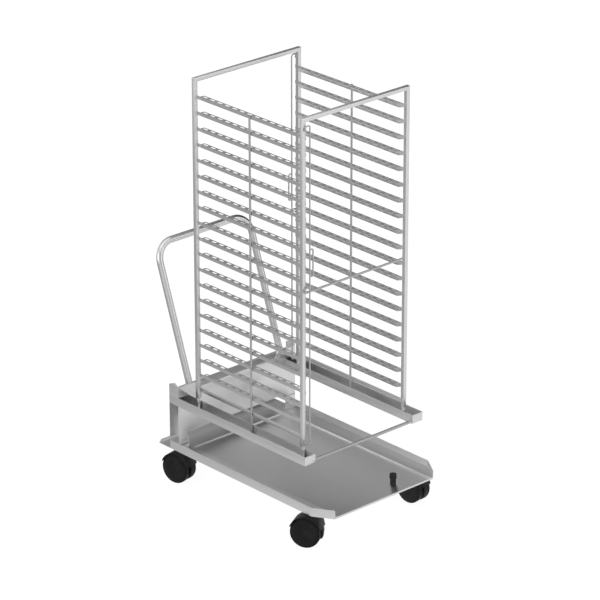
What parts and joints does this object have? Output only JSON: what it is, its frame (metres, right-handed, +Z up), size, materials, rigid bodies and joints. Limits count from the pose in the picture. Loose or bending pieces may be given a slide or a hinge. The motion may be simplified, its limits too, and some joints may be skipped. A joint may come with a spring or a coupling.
{
  "type": "tray trolley",
  "caption": "Tall open tray trolley with slotted side rails, swinging tray guards, a drip pan, a leaning push handle and swivel casters.",
  "frame": {"origin": "on the floor under the middle of the whole outline, with all four casters standing on it", "axes": "+Z up, -Y towards the front where the trays go in, +X to the right of someone looking in from the front"},
  "size_m": [0.7336, 1.1176, 1.794],
  "materials": {
    "sheet_steel": "satin, folded stainless sheet",
    "tube_steel": "satin stainless square tube",
    "rail_steel": "satin stainless rails",
    "rod_steel": "bright drawn stainless rod",
    "tube_polished": "polished stainless tube",
    "caster_steel": "zinc plated steel",
    "hood_black": "moulded black plastic",
    "wheel_black": "moulded black wheels",
    "peg_black": "black rubber"
  },
  "bodies": {
    "trolley": {"drip_pan": "sheet_steel", "rear_apron": "sheet_steel", "apron_brackets": "sheet_steel", "left_channel": "sheet_steel", "right_channel": "sheet_steel", "channel_cross_rod": "rod_steel", "push_handle": "tube_polished", "handle_clamps": "sheet_steel", "stop_peg": "peg_black", "front_frame": "tube_steel", "rear_frame": "tube_steel", "rack_feet": "tube_steel", "left_bottom_bar": "rail_steel", "right_bottom_bar": "rail_steel", "left_mid_rod": "rod_steel", "right_mid_rod": "rod_steel", "front_tie_rod": "rod_steel", "guard_eyes": "rod_steel", "caster_studs": "caster_steel", "rail_pair_1": "rail_steel", "rail_pair_2": "rail_steel", "rail_pair_3": "rail_steel", "rail_pair_4": "rail_steel", "rail_pair_5": "rail_steel", "rail_pair_6": "rail_steel", "rail_pair_7": "rail_steel", "rail_pair_8": "rail_steel", "rail_pair_9": "rail_steel", "rail_pair_10": "rail_steel", "rail_pair_11": "rail_steel", "rail_pair_12": "rail_steel", "rail_pair_13": "rail_steel", "rail_pair_14": "rail_steel", "rail_pair_15": "rail_steel", "rail_pair_16": "rail_steel", "rail_pair_17": "rail_steel", "rail_pair_18": "rail_steel", "rail_pair_19": "rail_steel", "caster_plate_front_left": "caster_steel", "caster_plate_front_right": "caster_steel", "caster_plate_rear_left": "caster_steel", "caster_plate_rear_right": "caster_steel"},
    "front_tray_guard": {"front_guard": "rod_steel"},
    "rear_tray_guard": {"rear_guard": "rod_steel"},
    "front_left_caster": {"caster_hood_front_left": "hood_black"},
    "front_left_wheel_pair": {"caster_axle_front_left": "caster_steel", "caster_wheels_front_left": "wheel_black"},
    "front_right_caster": {"caster_hood_front_right": "hood_black"},
    "front_right_wheel_pair": {"caster_axle_front_right": "caster_steel", "caster_wheels_front_right": "wheel_black"},
    "rear_left_caster": {"caster_hood_rear_left": "hood_black"},
    "rear_left_wheel_pair": {"caster_axle_rear_left": "caster_steel", "caster_wheels_rear_left": "wheel_black"},
    "rear_right_caster": {"caster_hood_rear_right": "hood_black"},
    "rear_right_wheel_pair": {"caster_axle_rear_right": "caster_steel", "caster_wheels_rear_right": "wheel_black"}
  },
  "joints": [
    {"name": "front_left_swivel", "type": "hinge", "parent": "trolley", "child": "front_left_caster", "pos_m": [-0.2905, -0.45677, 0.14], "axis": [0, 0, 1], "continuous": true},
    {"name": "front_left_roll", "type": "hinge", "parent": "front_left_caster", "child": "front_left_wheel_pair", "pos_m": [-0.30504, -0.43053, 0.0635], "axis": [0.8746, 0.4848, 0], "continuous": true},
    {"name": "front_right_swivel", "type": "hinge", "parent": "trolley", "child": "front_right_caster", "pos_m": [0.2905, -0.45677, 0.14], "axis": [0, 0, 1], "continuous": true},
    {"name": "front_right_roll", "type": "hinge", "parent": "front_right_caster", "child": "front_right_wheel_pair", "pos_m": [0.28789, -0.42688, 0.0635], "axis": [0.9962, 0.0872, 0], "continuous": true},
    {"name": "rear_left_swivel", "type": "hinge", "parent": "trolley", "child": "rear_left_caster", "pos_m": [-0.2905, 0.33423, 0.14], "axis": [0, 0, 1], "continuous": true},
    {"name": "rear_left_roll", "type": "hinge", "parent": "rear_left_caster", "child": "rear_left_wheel_pair", "pos_m": [-0.29674, 0.36358, 0.0635], "axis": [0.9781, 0.2079, 0], "continuous": true},
    {"name": "rear_right_swivel", "type": "hinge", "parent": "trolley", "child": "rear_right_caster", "pos_m": [0.2905, 0.33423, 0.14], "axis": [0, 0, 1], "continuous": true},
    {"name": "rear_right_roll", "type": "hinge", "parent": "rear_right_caster", "child": "rear_right_wheel_pair", "pos_m": [0.30504, 0.36047, 0.0635], "axis": [0.8746, -0.4848, 0], "continuous": true},
    {"name": "front_guard_hinge", "type": "hinge", "parent": "trolley", "child": "front_tray_guard", "pos_m": [-0.2775, -0.38905, 1.088], "axis": [0, 0, -1], "range_deg": [0, 180]},
    {"name": "rear_guard_hinge", "type": "hinge", "parent": "trolley", "child": "rear_tray_guard", "pos_m": [0.2775, 0.27151, 1.088], "axis": [0, 0, -1], "range_deg": [0, 180]}
  ]
}
